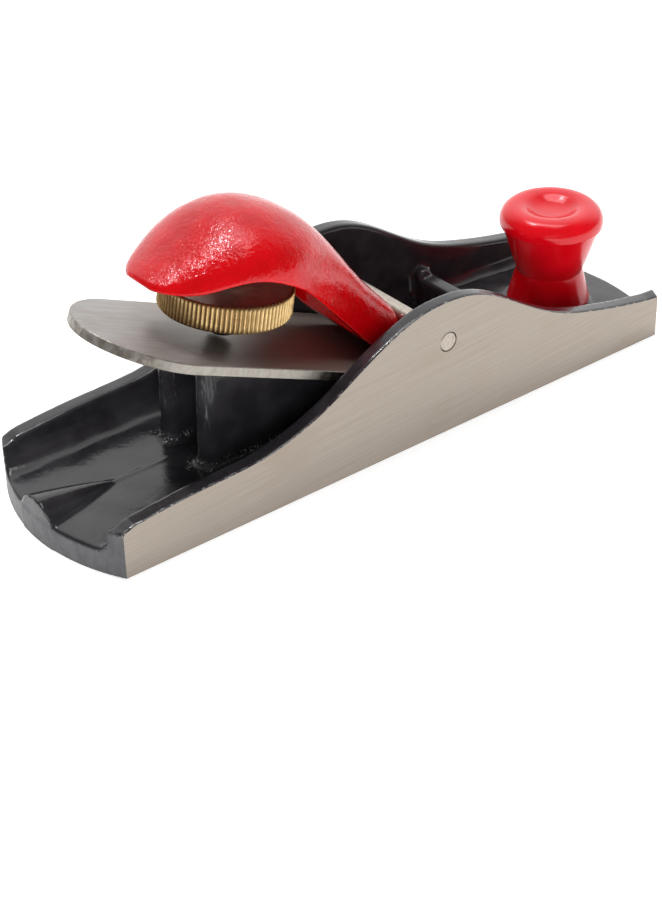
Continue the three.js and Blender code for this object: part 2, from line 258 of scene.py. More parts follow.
def upright(x, y, z, axis=Vector((0, 0, 1))):
    """Places an object built on its own z axis; x, y and z in millimetres."""
    turned = Vector((0, 0, 1)).rotation_difference(axis).to_matrix().to_4x4()
    return Matrix.Translation(Vector((x, y, z)) / MM_PER_M) @ turned


# ---- solids as signed distances, in millimetres, negative inside ----
def meet(a, b, radius):
    """What two solids share, with the edges between them rounded."""
    outside = np.hypot(np.maximum(radius + a, 0), np.maximum(radius + b, 0))
    return np.minimum(-radius, np.maximum(a, b)) + outside


def join(a, b, radius):
    """Two solids as one, with a fillet between them."""
    return -meet(-a, -b, radius)


def carve(a, b, radius):
    """The first solid with the second cut out of it, and the edges of the cut rounded."""
    return meet(a, -b, radius)


def above(table, x, z):
    """Distance above a curved surface whose height over x is a table."""
    xs, zs = table
    slope = np.gradient(zs, xs)
    return (z - np.interp(x, xs, zs)) / np.hypot(1, np.interp(x, xs, slope))


def polygon(outline, x, z):
    """Signed distance to a closed outline of (x, z) points."""
    nearest = np.full(x.shape, np.inf)
    inside = np.zeros(x.shape, bool)
    for (ax, az), (bx, bz) in zip(outline, outline[1:] + outline[:1]):
        ex, ez = bx - ax, bz - az
        t = np.clip(((x - ax) * ex + (z - az) * ez) / (ex * ex + ez * ez), 0, 1)
        nearest = np.minimum(nearest, np.hypot(x - ax - t * ex, z - az - t * ez))
        if az != bz:
            crosses = (az > z) != (bz > z)
            inside ^= crosses & (x < ax + (z - az) * ex / ez)
    return np.where(inside, -nearest, nearest)


def surface_of(field, low, high, step):
    """The skin of a signed-distance solid, as vertices and quads, found with surface nets."""
    low = np.array(low, float)
    axes = [np.arange(a, b + step, step) for a, b in zip(low, high)]
    distance = field(*np.meshgrid(*axes, indexing="ij"))
    inside = distance < 0
    cells = np.array(distance.shape) - 1
    corners = [(i, j, k) for i in (0, 1) for j in (0, 1) for k in (0, 1)]

    def at(values, corner):
        return values[tuple(slice(c, c + n) for c, n in zip(corner, cells))]

    count = sum(at(inside, c).astype(np.int8) for c in corners)
    crossed = (count > 0) & (count < 8)
    number = np.full(crossed.shape, -1)
    number[crossed] = np.arange(crossed.sum())
    total = np.zeros((crossed.sum(), 3))
    hits = np.zeros(crossed.sum())
    for start in corners:
        for axis in range(3):
            if start[axis]:
                continue
            stop = tuple(1 if k == axis else c for k, c in enumerate(start))
            a, b = at(distance, start)[crossed], at(distance, stop)[crossed]
            cuts = (a < 0) != (b < 0)
            share = a[cuts] / (a[cuts] - b[cuts])
            total[cuts] += np.array(start) + share[:, None] * (np.array(stop) - np.array(start))
            hits[cuts] += 1
    vertices = low + (np.argwhere(crossed) + total / hits[:, None]) * step

    faces = []
    for axis in range(3):
        b, c = (axis + 1) % 3, (axis + 2) % 3

        def part(values, along, back_b, back_c):
            index = [None] * 3
            index[axis] = slice(along, cells[axis] + along)
            index[b] = slice(1 - back_b, cells[b] - back_b)
            index[c] = slice(1 - back_c, cells[c] - back_c)
            return values[tuple(index)]

        here, beyond = part(inside, 0, 0, 0), part(inside, 1, 0, 0)
        ring = np.stack([part(number, 0, *back) for back in ((0, 0), (1, 0), (1, 1), (0, 1))], -1)
        faces += [ring[here & ~beyond], ring[~here & beyond][:, ::-1]]
    return settled(field, vertices, step), np.concatenate(faces)


def settled(field, vertices, step):
    """Moves vertices along the field's slope until they lie on the surface itself."""
    small, passes, least_slope = 0.02, 3, 0.2
    for _ in range(passes):
        x, y, z = vertices.T
        slope = np.stack([
            field(x + small, y, z) - field(x - small, y, z),
            field(x, y + small, z) - field(x, y - small, z),
            field(x, y, z + small) - field(x, y, z - small),
        ], -1) / (2 * small)
        move = field(x, y, z) / np.maximum((slope ** 2).sum(-1), least_slope)
        vertices = vertices - slope * np.clip(move, -step / 2, step / 2)[:, None]
    return vertices


def ground_flat(bm, point, normal, material):
    """Cuts away what stands past a plane and shuts the cut with flat faces."""
    everything = bm.verts[:] + bm.edges[:] + bm.faces[:]
    cut = bmesh.ops.bisect_plane(bm, geom=everything, dist=1e-5, plane_co=point, plane_no=normal,
                                 clear_outer=True)
    rim = [e for e in cut["geom_cut"] if isinstance(e, bmesh.types.BMEdge)]
    filled = bmesh.ops.triangle_fill(bm, use_beauty=True, edges=rim, normal=normal)
    for face in filled["geom"]:
        if isinstance(face, bmesh.types.BMFace):
            face.material_index = material
            if face.normal.dot(normal) < 0:
                face.normal_flip()


# ---- materials ----
class Shader:
    """A principled material whose nodes are added with short calls. Lengths are in millimetres."""

    def __init__(self, name, **settings):
        self.material = bpy.data.materials.new(name)
        self.material.use_nodes = True
        self.tree = self.material.node_tree
        self.base = next(n for n in self.tree.nodes if n.type == "BSDF_PRINCIPLED")
        for socket, value in settings.items():
            self.base.inputs[socket.replace("_", " ")].default_value = value
        self.place = self.add("ShaderNodeTexCoord").outputs["Object"]

    def add(self, kind, **settings):
        node = self.tree.nodes.new(kind)
        for key, value in settings.items():
            setattr(node, key, value)
        return node

    def put(self, socket, value):
        if isinstance(value, bpy.types.NodeSocket):
            self.tree.links.new(value, socket)
        else:
            socket.default_value = value

    def math(self, operation, a, b=0.0, c=0.0):
        node = self.add("ShaderNodeMath", operation=operation)
        for socket, value in zip(node.inputs, (a, b, c)):
            self.put(socket, value)
        return node.outputs[0]

    def times(self, first, *others):
        for other in others:
            first = self.math("MULTIPLY", first, other)
        return first

    def axis(self, letter):
        """The place along X, Y or Z."""
        node = self.add("ShaderNodeSeparateXYZ")
        self.put(node.inputs[0], self.place)
        return self.math("MULTIPLY", node.outputs[letter], MM_PER_M)

    def stretched(self, sizes, turn=(0, 0, 0)):
        """Coordinates in which one unit is the given size in millimetres along each axis."""
        turned = self.add("ShaderNodeMapping", vector_type="POINT")
        self.put(turned.inputs["Vector"], self.place)
        turned.inputs["Rotation"].default_value = [math.radians(t) for t in turn]
        scaled = self.add("ShaderNodeMapping", vector_type="POINT")
        self.put(scaled.inputs["Vector"], turned.outputs[0])
        scaled.inputs["Scale"].default_value = [MM_PER_M / size for size in sizes]
        return scaled.outputs[0]

    def noise(self, sizes, detail, roughness=0.5, turn=(0, 0, 0), distortion=0.0):
        """Clouds of about the given size, which is one number or one for each axis."""
        if not hasattr(sizes, "__len__"):
            sizes = (sizes,) * 3
        node = self.add("ShaderNodeTexNoise")
        self.put(node.inputs["Vector"], self.stretched(sizes, turn))
        node.inputs["Scale"].default_value = 1.0
        node.inputs["Detail"].default_value = detail
        node.inputs["Roughness"].default_value = roughness
        node.inputs["Distortion"].default_value = distortion
        return node.outputs["Fac"]

    def cells(self, size):
        """Distance to the nearest of points scattered about the given size apart."""
        node = self.add("ShaderNodeTexVoronoi", feature="F1")
        self.put(node.inputs["Vector"], self.stretched((size,) * 3))
        node.inputs["Scale"].default_value = 1.0
        return node.outputs["Distance"]

    def between(self, value, low, high, to_low=0.0, to_high=1.0, smooth=True):
        """Carries low..high of a value to to_low..to_high, held at both ends."""
        kind = "SMOOTHSTEP" if smooth else "LINEAR"
        node = self.add("ShaderNodeMapRange", interpolation_type=kind)
        for socket, number in zip(node.inputs, (value, low, high, to_low, to_high)):
            self.put(socket, number)
        return node.outputs[0]

    def blend(self, factor, a, b):
        """Colour a where the factor is 0, and b where it is 1."""
        node = self.add("ShaderNodeMix", data_type="RGBA")
        self.put(node.inputs["Factor"], factor)
        first_colour, second_colour, mixed = node.inputs[6], node.inputs[7], node.outputs[2]
        for socket, value in ((first_colour, a), (second_colour, b)):
            self.put(socket, (*value, 1.0) if isinstance(value, tuple) else value)
        return mixed

    def bump(self, height, depth, after=None):
        """Relief of the given depth in millimetres, on top of an earlier relief."""
        node = self.add("ShaderNodeBump")
        node.inputs["Strength"].default_value = 1.0
        node.inputs["Distance"].default_value = depth / MM_PER_M
        self.put(node.inputs["Height"], height)
        if after is not None:
            self.put(node.inputs["Normal"], after)
        return node.outputs[0]

    def set(self, **sockets):
        """Fills the principled shader's own sockets and hands back the material."""
        for name, value in sockets.items():
            if isinstance(value, tuple):
                value = (*value, 1.0)
            self.put(self.base.inputs[name.replace("_", " ")], value)
        return self.material


def black_enamel():
    """Thick gloss enamel over a rough casting, chipped to bright iron along the ground cheeks; the
    pale colour of the drips and specks at the ribs is painted highlight.
    """
    s = Shader("black_enamel")
    # the first colour here is pale and paints highlights onto the black enamel; it is not a paint
    # of its own
    painted_glint, bare_iron = (0.42, 0.42, 0.43), (0.42, 0.41, 0.4)
    swell = s.noise(7.0, detail=2.0)
    peel = s.noise(1.3, detail=3.0, roughness=0.6)
    lip = s.between(s.math("ABSOLUTE", s.axis("Y")), HALF_WIDTH - 0.62, HALF_WIDTH - 0.05)
    worn = s.between(s.noise((1.6, 0.8, 1.6), detail=4.0, roughness=0.7), 0.54, 0.62)
    chip = s.times(lip, worn)

    # place in plan, measured from the nose of the nearer bed rib
    ahead = s.math("SUBTRACT", s.axis("X"), RIB_NOSE_X)
    off_middle = s.math("ABSOLUTE", s.math("SUBTRACT", s.axis("Y"), RIB_SHIFT))
    aside = s.math("SUBTRACT", off_middle, RIB_MIDDLE)
    across = s.times(aside, aside)

    # runs of thick enamel down the upper half of each rib's nose: their relief is real, their pale
    # colour a painted highlight
    nose = s.between(s.math("MULTIPLY_ADD", ahead, ahead, across), 7.0, 19.0, 1.0, 0.0)
    streaks = s.noise((1.2, 1.2, 9.0), detail=5.0, roughness=0.7, distortion=0.6)
    upper = s.between(s.axis("Z"), FLOOR + 7.0, FLOOR + 15.0)
    drips_and_glints = s.times(nose, upper, s.between(streaks, 0.52, 0.64))

    # specks raised round each rib's rear end and along its foot: their relief is real, their pale
    # colour a painted highlight
    behind = s.math("MINIMUM", ahead, 0.0)
    beside = s.between(s.math("MULTIPLY_ADD", behind, behind, across), 11.0, 21.0, 1.0, 0.0)
    low = s.between(s.axis("Z"), FLOOR + 0.5, FLOOR + 2.2, 1.0, 0.0)
    rear = s.between(ahead, 22.0, 32.0, 1.0, 0.0)
    patch = s.between(s.noise(2.4, detail=2.0), 0.42, 0.56)
    speck = s.between(s.noise(0.6, detail=3.0, roughness=0.7), 0.54, 0.6)
    grit_and_glints = s.times(beside, low, rear, patch, speck)

    coat = s.blend(s.between(swell, 0.35, 0.7), (0.02, 0.0185, 0.0215), (0.032, 0.03, 0.034))
    # painted highlight: the drips and the specks take the pale colour
    coat = s.blend(s.math("MAXIMUM", grit_and_glints, s.times(drips_and_glints, 0.26)), coat, painted_glint)
    relief = s.bump(swell, 0.12)
    relief = s.bump(peel, 0.04, relief)
    relief = s.bump(drips_and_glints, 0.3, relief)
    relief = s.bump(grit_and_glints, 0.2, relief)
    gloss = s.between(s.noise(7.0, detail=2.0), 0.3, 0.7, 0.13, 0.21)
    return s.set(
        Base_Color=s.blend(chip, coat, bare_iron),
        Metallic=chip,
        Roughness=s.math("MAXIMUM", gloss, s.times(chip, 0.4)),
        Normal=s.bump(chip, -0.08, relief),
    )


def brushed(s, lines, fine, rough_low, rough_high, depth):
    """Roughness and relief of metal with broad lines and finer ones among them."""
    rough = s.between(lines, 0.25, 0.75, rough_low, rough_high)
    rough = s.math("ADD", rough, s.between(fine, 0.3, 0.7, -0.03, 0.03))
    return rough, s.bump(fine, 0.006, s.bump(lines, depth))


def ground_iron():
    """Cheeks and sole from the surface grinder: fine lines along the body, with faint stains."""
    s = Shader("ground_iron", Metallic=1.0)
    slant = (0, 4, 0)
    lines = s.noise((34.0, 0.28, 0.28), detail=4.0, roughness=0.65, turn=slant)
    fine = s.noise((9.0, 0.1, 0.1), detail=2.0, roughness=0.6, turn=slant)
    stain = s.noise((26.0, 14.0, 14.0), detail=5.0, roughness=0.6)
    colour = s.blend(s.between(lines, 0.3, 0.7), (0.32, 0.275, 0.234), (0.39, 0.343, 0.296))
    colour = s.blend(s.between(stain, 0.52, 0.72, 0.0, 0.35), colour, (0.31, 0.252, 0.2))
    rough, relief = brushed(s, lines, fine, 0.36, 0.46, 0.015)
    return s.set(Base_Color=colour, Roughness=rough, Normal=relief)


def end_face():
    """The sawn and painted end faces of the casting: thin satin grey-black."""
    s = Shader("painted_end", Specular_IOR_Level=0.5)
    patch = s.noise((3.0, 3.0, 5.0), detail=4.0, roughness=0.6)
    grain = s.noise((0.5, 0.5, 0.9), detail=3.0)
    colour = s.blend(s.between(patch, 0.3, 0.7), (0.05, 0.05, 0.056), (0.09, 0.088, 0.092))
    return s.set(Base_Color=colour, Roughness=s.between(grain, 0.3, 0.7, 0.32, 0.5),
                 Normal=s.bump(grain, 0.03))


def pin_steel():
    """The ground cross pin: turned rings, and a faint darker spotting."""
    s = Shader("pin_steel", Metallic=1.0)
    turned = s.noise((0.25, 12.0, 0.25), detail=3.0)
    spot = s.noise(1.1, detail=4.0)
    colour = s.blend(s.between(spot, 0.4, 0.75), (0.43, 0.38, 0.33), (0.35, 0.305, 0.26))
    return s.set(Base_Color=colour, Roughness=s.between(turned, 0.3, 0.7, 0.25, 0.42),
                 Normal=s.bump(turned, 0.01))


def iron_steel():
    """The iron's faces: rolled and brushed lengthways, dull, with a warm cloudiness, and a painted
    warm shade and reflection of the red cap from the tail forwards.
    """
    s = Shader("iron_steel", Metallic=0.55)
    lines = s.noise((24.0, 0.5, 0.5), detail=4.0, roughness=0.6, distortion=0.4)
    fine = s.noise((7.0, 0.14, 0.14), detail=2.0)
    cloud = s.noise((16.0, 9.0, 9.0), detail=4.0, roughness=0.6)
    # painted shade and reflection: warmer and darker from the tail forwards, under the cap
    painted_cap_reflection = s.between(s.axis("X"), -62.0, -34.0, 0.0, 0.7)
    colour = s.blend(s.between(lines, 0.3, 0.7), (0.27, 0.25, 0.23), (0.4, 0.38, 0.365))
    colour = s.blend(s.between(cloud, 0.42, 0.72, 0.0, 0.6), colour, (0.25, 0.2, 0.17))
    colour = s.blend(painted_cap_reflection, colour, (0.24, 0.195, 0.16))
    rough, relief = brushed(s, lines, fine, 0.38, 0.5, 0.02)
    return s.set(Base_Color=colour, Roughness=rough, Normal=relief)


def iron_edge():
    """The iron's milled edge: bare along the sides, blotchy, and darkened round the tail by painted
    shade.
    """
    s = Shader("iron_edge", Metallic=1.0)
    milled = s.noise((1.6, 1.6, 3.0), detail=4.0, roughness=0.6)
    blot = s.noise(1.8, detail=5.0, roughness=0.7)
    colour = s.blend(s.between(milled, 0.3, 0.7), (0.31, 0.285, 0.25), (0.42, 0.395, 0.355))
    colour = s.blend(s.between(blot, 0.5, 0.7, 0.0, 0.45), colour, (0.22, 0.185, 0.155))
    # painted shade round the tail, whose end faces away from the light, broken up by the blot noise
    tail = s.between(s.axis("X"), -71.0, -66.0, 1.0, 0.0)
    dark = s.times(tail, s.between(blot, 0.35, 0.6), 0.7)
    colour = s.blend(dark, colour, (0.17, 0.14, 0.12))
    return s.set(Base_Color=colour, Roughness=s.between(milled, 0.3, 0.7, 0.32, 0.5),
                 Normal=s.bump(milled, 0.03))


def red_enamel():
    """Gloss red enamel on a casting: brushed-on waves, orange peel and a few nibs."""
    s = Shader("red_enamel", Specular_IOR_Level=0.62, Specular_Tint=(1.0, 0.58, 0.62, 1.0))
    swell = s.noise(6.0, detail=2.0)
    peel = s.noise((0.9, 0.9, 1.3), detail=3.0, roughness=0.55, distortion=0.8)
    nibs = s.between(s.cells(5.0), 0.0, 0.09, 1.0, 0.0)
    colour = s.blend(s.between(swell, 0.3, 0.7), (0.54, 0.0003, 0.002), (0.64, 0.0006, 0.004))
    gloss = s.between(s.noise(3.0, detail=4.0), 0.3, 0.7, 0.06, 0.13)
    relief = s.bump(peel, 0.13, s.bump(swell, 0.3))
    return s.set(Base_Color=colour, Roughness=gloss, Normal=s.bump(nibs, 0.05, relief))


def red_plastic():
    """Moulded red plastic, glossy, with a faint swell and a few fine scuffs."""
    s = Shader("red_plastic", Specular_IOR_Level=0.7, Specular_Tint=(1.0, 0.7, 0.74, 1.0))
    swell = s.noise(8.0, detail=1.0)
    scuff = s.between(s.noise((0.15, 5.0, 5.0), detail=3.0, turn=(20, 35, 10)), 0.66, 0.74)
    colour = s.blend(s.between(swell, 0.3, 0.7), (0.72, 0.0006, 0.006), (0.8, 0.001, 0.009))
    gloss = s.between(s.noise(5.0, detail=4.0), 0.3, 0.7, 0.14, 0.22)
    rough = s.math("ADD", gloss, s.times(scuff, 0.12))
    return s.set(Base_Color=colour, Roughness=rough, Normal=s.bump(swell, 0.12))


def turned_brass(name, bright, dull):
    """Brass with clouds of tarnish, the distance from the wheel's axis, and its colour."""
    s = Shader(name, Metallic=0.85)
    flat = s.add("ShaderNodeVectorMath", operation="MULTIPLY")
    s.put(flat.inputs[0], s.place)
    flat.inputs[1].default_value = (1, 1, 0)
    reach = s.add("ShaderNodeVectorMath", operation="LENGTH")
    s.put(reach.inputs[0], flat.outputs[0])
    tarnish = s.noise(3.0, detail=5.0, roughness=0.6)
    colour = s.blend(s.between(tarnish, 0.35, 0.7), bright, dull)
    return s, s.times(reach.outputs["Value"], MM_PER_M), colour


def brass_face():
    """Turned faces, tarnished to a dark bronze."""
    s, radius, colour = turned_brass("brass_face", (0.44, 0.4, 0.31), (0.34, 0.31, 0.235))
    ring_width = 0.12
    rings = s.add("ShaderNodeTexNoise", noise_dimensions="1D")
    s.put(rings.inputs["W"], s.times(radius, 1 / ring_width))
    rings.inputs["Detail"].default_value = 3.0
    rings.inputs["Scale"].default_value = 1.0
    turned = rings.outputs["Fac"]
    return s.set(Base_Color=colour, Metallic=0.6, Roughness=s.between(turned, 0.3, 0.7, 0.36, 0.5),
                 Normal=s.bump(turned, 0.008))


def brass_knurl():
    """The knurl's crests are bright brass and its grooves a darker brown."""
    s, radius, colour = turned_brass("brass_knurl", (0.82, 0.58, 0.27), (0.6, 0.4, 0.17))
    crest = s.between(radius, WHEEL_RADIUS - 0.36, WHEEL_RADIUS - 0.04, smooth=False)
    colour = s.blend(crest, (0.2, 0.12, 0.045), colour)
    grain = s.noise((0.4, 0.4, 1.2), detail=3.0)
    return s.set(Base_Color=colour, Roughness=s.between(grain, 0.3, 0.7, 0.24, 0.4),
                 Normal=s.bump(grain, 0.03))


def dark_steel():
    """Oil-blackened screws, blotchy where the black has worn thin."""
    s = Shader("dark_steel", Metallic=1.0)
    blot = s.noise(1.6, detail=4.0)
    colour = s.blend(s.between(blot, 0.3, 0.7), (0.07, 0.066, 0.06), (0.14, 0.13, 0.12))
    return s.set(Base_Color=colour, Roughness=s.between(blot, 0.3, 0.7, 0.3, 0.5),
                 Normal=s.bump(blot, 0.02))


# ---- body casting ----
def cheek_top():
    """Side outline shared by both cheeks: low at toe and heel, a smooth hump over the pin."""
    x, z = natural_spline([
        (-79, 12.8), (-66, 14), (-52, 14.6), (-43, 15.4), (-35, 17.5), (-27, 20.6), (-17, 26.3),
        (-5, 32.5), (3, 35.1), (10, 35.7), (17, 35), (25, 32), (33, 27.2), (41, 22.3), (49, 18.6),
        (58, 15.9), (69, 13.4), (79, 11.6),
    ])
    x = np.concatenate([[-95, -90, -82], x, [90, 95]])
    z = np.concatenate([[11.3, 11.3, 11.6], z, [10.9, 10.9]])
    return smoothed(x, z, 0.7)


CHEEK_TOP = cheek_top()
TRAY_OUTLINE = [(-95, FLOOR), (40, FLOOR), (46, 6), (52, 5.7), (91, 3.2), (95, 2.9)]
TRAY_FLOOR = smoothed(*np.array(TRAY_OUTLINE).T, 0.8)
TOP_EDGE, END_EDGE, TRAY_LIP = 1.1, 0.5, 0.9    # roundings of the casting's edges
CHEEK_DRAFT = 0.012    # taper of the cheeks' inner faces
NEAR_FILLET = 2.5    # at the foot of the near cheek
FAR_FILLET = ((-20, 10), (6.0, 3.0))    # at the far one: x, and radius there
HUMP_TIP_X, HUMP_RADIUS, HUMP_CENTRE_Z = -68, 7.56, 3.44
BULKHEAD_X, BULKHEAD_HALF, BULKHEAD_TOP = 41.65, 2.35, 13.5
NUB_RADIUS, NUB_LENGTH = 2.1, 3.2    # where the bulkhead meets the far cheek
ROOT = 1.5    # how far both run into the cheeks
RIB_TAPER = 0.03
MOUTH_FRONT, MOUTH_HALF, MOUTH_SLOPE = 38.2, IRON_HALF + 0.9, 0.175
KNOB_PAD_RADIUS = 11.3
STUD_HOLE_FLOOR, STUD_CLEARANCE, PIN_CLEARANCE = 1.4, 0.25, 0.1
BODY_GRID = 0.55
ENAMEL, GROUND, END_FACE = range(3)    # the casting's materials


def over_bed(x, z):
    """Distance above the bed, which lies a gap under the iron."""
    return (z - IRON_TOP) * BED_COS + x * BED_SIN + IRON_THICKNESS + GAP


def cast_unevenness(x, y, z):
    along = 0.31 * x + 1.7 * np.sin(0.23 * z)
    return 0.06 * np.sin(along) * np.sin(0.37 * y + 0.41 * z + 0.19 * x)


def heel_hump(x, y, z):
    """A cone that lies along the heel tray and grows towards the end of the casting."""
    along = np.clip((HUMP_TIP_X - x) / (HALF_LENGTH + 1 + HUMP_TIP_X), 0, 1)
    centre_z = FLOOR + (HUMP_CENTRE_Z - FLOOR) * along
    return (np.hypot(y, z - centre_z) - HUMP_RADIUS * along ** 0.8) * 0.94


def bulkhead(x, z, side):
    wall = meet(np.abs(x - BULKHEAD_X) - BULKHEAD_HALF, z - BULKHEAD_TOP, 1.2)
    return np.maximum(wall, side - INNER_HALF - ROOT)


def nub(x, y, z):
    spread = np.hypot(x - BULKHEAD_X + 0.6, z - BULKHEAD_TOP + 0.4)
    stub = meet(spread - NUB_RADIUS, INNER_HALF - NUB_LENGTH - y, 0.9)
    return np.maximum(stub, y - INNER_HALF - ROOT)


def bed_ribs(x, y, bed, uneven):
    """Two ribs with round rear ends, cut off at the bed, and a little thicker at the foot."""
    from_nose = np.minimum(x - RIB_NOSE_X - RIB_HALF, 0)
    spread = np.hypot(from_nose, np.abs(y - RIB_SHIFT) - RIB_MIDDLE)
    rib = spread - RIB_HALF + RIB_TAPER * bed + uneven
    return np.maximum(meet(rib, bed, 0.6), x - RIB_FRONT)


def mouth(x, z, side, bed):
    front = x - MOUTH_FRONT - MOUTH_SLOPE * z
    return np.maximum(np.maximum(side - MOUTH_HALF, -bed), np.maximum(front, z - FLOOR - 0.6))


def with_knob_seat(solid, x, y, z):
    """The casting with a round seat faced flat in the toe floor, and the stud's hole in it."""
    spread = np.hypot(x - KNOB_X, y)
    pad = meet(spread - KNOB_PAD_RADIUS, z - KNOB_SEAT, 0.5)
    solid = join(solid, np.maximum(pad, 1 - z), 0.5)
    solid = carve(solid, np.maximum(spread - KNOB_PAD_RADIUS, KNOB_SEAT - z), 0.4)
    hole = np.maximum(spread - STUD_RADIUS - STUD_CLEARANCE, STUD_HOLE_FLOOR - z)
    return np.maximum(solid, -hole)


def body_field(x, y, z):
    side, bed = np.abs(y), over_bed(x, z)
    uneven = cast_unevenness(x, y, z)
    flanks = side - (HALF_WIDTH + SKIN)
    ends = np.hypot(np.maximum(np.abs(x) - END_CENTRE, 0), y) - END_RADIUS
    solid = meet(meet(flanks, above(CHEEK_TOP, x, z), TOP_EDGE), ends, END_EDGE)

    wall = side - INNER_HALF - CHEEK_DRAFT * (z - FLOOR) + uneven
    fillet = np.where(y > 0, np.interp(x, *FAR_FILLET), NEAR_FILLET)
    tray = meet(wall, -above(TRAY_FLOOR, x, z) + uneven, fillet)
    solid = carve(solid, tray, TRAY_LIP)

    solid = join(solid, meet(heel_hump(x, y, z), ends, END_EDGE), 0.7)
    solid = join(solid, bulkhead(x, z, side), 1.8)
    solid = join(solid, nub(x, y, z), 0.6)
    solid = join(solid, bed_ribs(x, y, bed, uneven), 2.2)
    solid = carve(solid, mouth(x, z, side, bed), 0.4)
    solid = with_knob_seat(solid, x, y, z)
    pin_hole = np.hypot(x - PIN_X, z - PIN_Z) - PIN_RADIUS - PIN_CLEARANCE
    return carve(solid, pin_hole, 0.35)


def body_casting():
    """The casting is made oversize at the cheeks and sole, and then ground flat to size."""
    margin, spare = 1.5, 1.0

    def oversize(x, y, z):
        return np.maximum(body_field(x, y, z), -spare - z)

    low = (-HALF_LENGTH - margin, -HALF_WIDTH - margin, -margin)
    high = (HALF_LENGTH + margin, HALF_WIDTH + margin, body_high[2] + margin)
    vertices, quads = surface_of(oversize, low, high, BODY_GRID)
    mesh = bpy.data.meshes.new("skin")
    mesh.from_pydata(vertices.tolist(), [], quads.tolist())
    bm = bmesh.new()
    bm.from_mesh(mesh)
    bpy.data.meshes.remove(mesh)
    for point, normal in (((0, HALF_WIDTH, 0), (0, 1, 0)), ((0, -HALF_WIDTH, 0), (0, -1, 0)),
                          ((0, 0, 0), (0, 0, -1))):
        ground_flat(bm, Vector(point), Vector(normal), GROUND)
    for face in bm.faces:
        x, y, _ = face.calc_center_median()
        reach = math.hypot(max(abs(x) - END_CENTRE, 0), y)
        if face.material_index == ENAMEL and reach > END_RADIUS - 0.03:
            face.material_index = END_FACE
    made = object_from_bmesh("body_casting", bm, [black_enamel(), ground_iron(), end_face()])
    stands_for(made, "plane_body", "plane")


def cross_pin():
    half, chamfer, rows = HALF_WIDTH - 0.05, 0.2, 24
    rim = PIN_RADIUS - chamfer
    shaft = [(PIN_RADIUS, y) for y in np.linspace(-half, half, rows)[1:-1]]
    profile = [(0, -half), (rim, -half), (PIN_RADIUS, -half + chamfer), *shaft,
               (PIN_RADIUS, half - chamfer), (rim, half), (0, half)]
    place = upright(PIN_X, 0, PIN_Z, Vector((0, 1, 0)))
    made = lathe("cross_pin_turned", profile, [pin_steel()], place, around=96)
    stands_for(made, "cross_pin", "plane")


# ---- iron ----
SIDES_END = -60    # u where the iron's straight sides end
CHAMFER = 0.18    # along the iron's edges


def bezier(a, b, c, d, count):
    a, b, c, d = (np.array(p, float) for p in (a, b, c, d))
    t = np.linspace(0, 1, count, endpoint=False)[:, None]
    return a * (1 - t) ** 3 + 3 * b * t * (1 - t) ** 2 + 3 * c * t ** 2 * (1 - t) + d * t ** 3


def iron_outline(inset):
    """Plan of the iron as (u, v): straight sides from the edge, then the round tail."""
    half, tail = IRON_HALF - inset, IRON_TAIL + inset
    straight = [(u, half) for u in np.linspace(IRON_EDGE, SIDES_END, 60, endpoint=False)]
    curve = bezier((SIDES_END, half), (SIDES_END - 10, half), (tail, 10), (tail, 0), 48)
    upper = straight + [tuple(p) for p in curve] + [(tail, 0)]
    return upper + [(u, -v) for u, v in upper[-2::-1]]


def cutting_iron():
    bm = bmesh.new()
    base = -IRON_THICKNESS
    levels = [(base, CHAMFER), (base + CHAMFER, 0), (-CHAMFER, 0), (0, CHAMFER)]
    rings = [[bm.verts.new((u, v, w)) for u, v in iron_outline(inset)] for w, inset in levels]
    count = len(rings[0])
    for low, high in zip(rings, rings[1:]):
        for i in range(count):
            j = (i + 1) % count
            bm.faces.new((low[j], low[i], high[i], high[j])).material_index = 1
    bm.faces.new(rings[0])
    bm.faces.new(rings[-1][::-1])

    bevel_start = IRON_EDGE - BEVEL_LENGTH
    bmesh.ops.bisect_plane(bm, geom=bm.verts[:] + bm.edges[:] + bm.faces[:], dist=1e-5,
                           plane_co=(bevel_start, 0, 0), plane_no=(1, 0, 0))
    drop = (IRON_THICKNESS - EDGE_LAND) / BEVEL_LENGTH
    for vertex in bm.verts:
        limit = -(vertex.co.x - bevel_start) * drop
        if vertex.co.x > bevel_start:
            vertex.co.z = max(min(vertex.co.z, limit), base)
    bmesh.ops.remove_doubles(bm, verts=bm.verts, dist=1e-4)
    bmesh.ops.recalc_face_normals(bm, faces=bm.faces)
    place = Matrix.Translation((0, 0, IRON_TOP / MM_PER_M)) @ Matrix.Rotation(BED_ANGLE, 4, "Y")
    made = object_from_bmesh("iron_plate", bm, [iron_steel(), iron_edge()], place, sharp_over=25)
    stands_for(made, "cutting_iron", "iron")


# ---- lever cap ----
# From the tip of the palm end to the shoulder behind the pin: x, rim height, crest height.
CAP_STATIONS = np.array([
    (-58, 53.8, 55.0), (-51, 53.2, 57.9), (-44, 54.2, 61.2), (-37, 53.9, 64.3), (-30, 50.9, 64.9),
    (-23, 45.6, 62.8), (-16, 38.1, 58.1), (-9, 30.4, 50.2), (-2, 22.4, 40.2), (7.55, 14.9, 28.8),
])
CAP_RIM = natural_spline(CAP_STATIONS[:, [0, 1]])
CAP_CREST = natural_spline(CAP_STATIONS[:, [0, 2]])
CAP_TIP_X = cap_low[0]
CAP_WIDEST_X, CAP_HALF = -30, cap_high[1]
NECK_X, NECK_HALF = -6, 12.6
CAP_WALL, CAP_GRID = 3.0, 0.42
BOSS_RADIUS, BOSS_BASE = 6.0, 4.5    # the screw's boss; its base is measured above the wheel
TONGUE_TIP_X = cap_high[0]
TONGUE_FLARE = ((12, 16, 20, 25, TONGUE_TIP_X), (NECK_HALF, 13.2, 14.8, 15.4, 15.0))
SHOULDER_X = PIN_X - PIN_RADIUS - GAP
TONGUE_LIFT = 1.1    # relief under the hook, off the iron
SCREW_CLEARANCE = 0.15
SCREW_HOLE_TOP = 15.8    # measured above the wheel


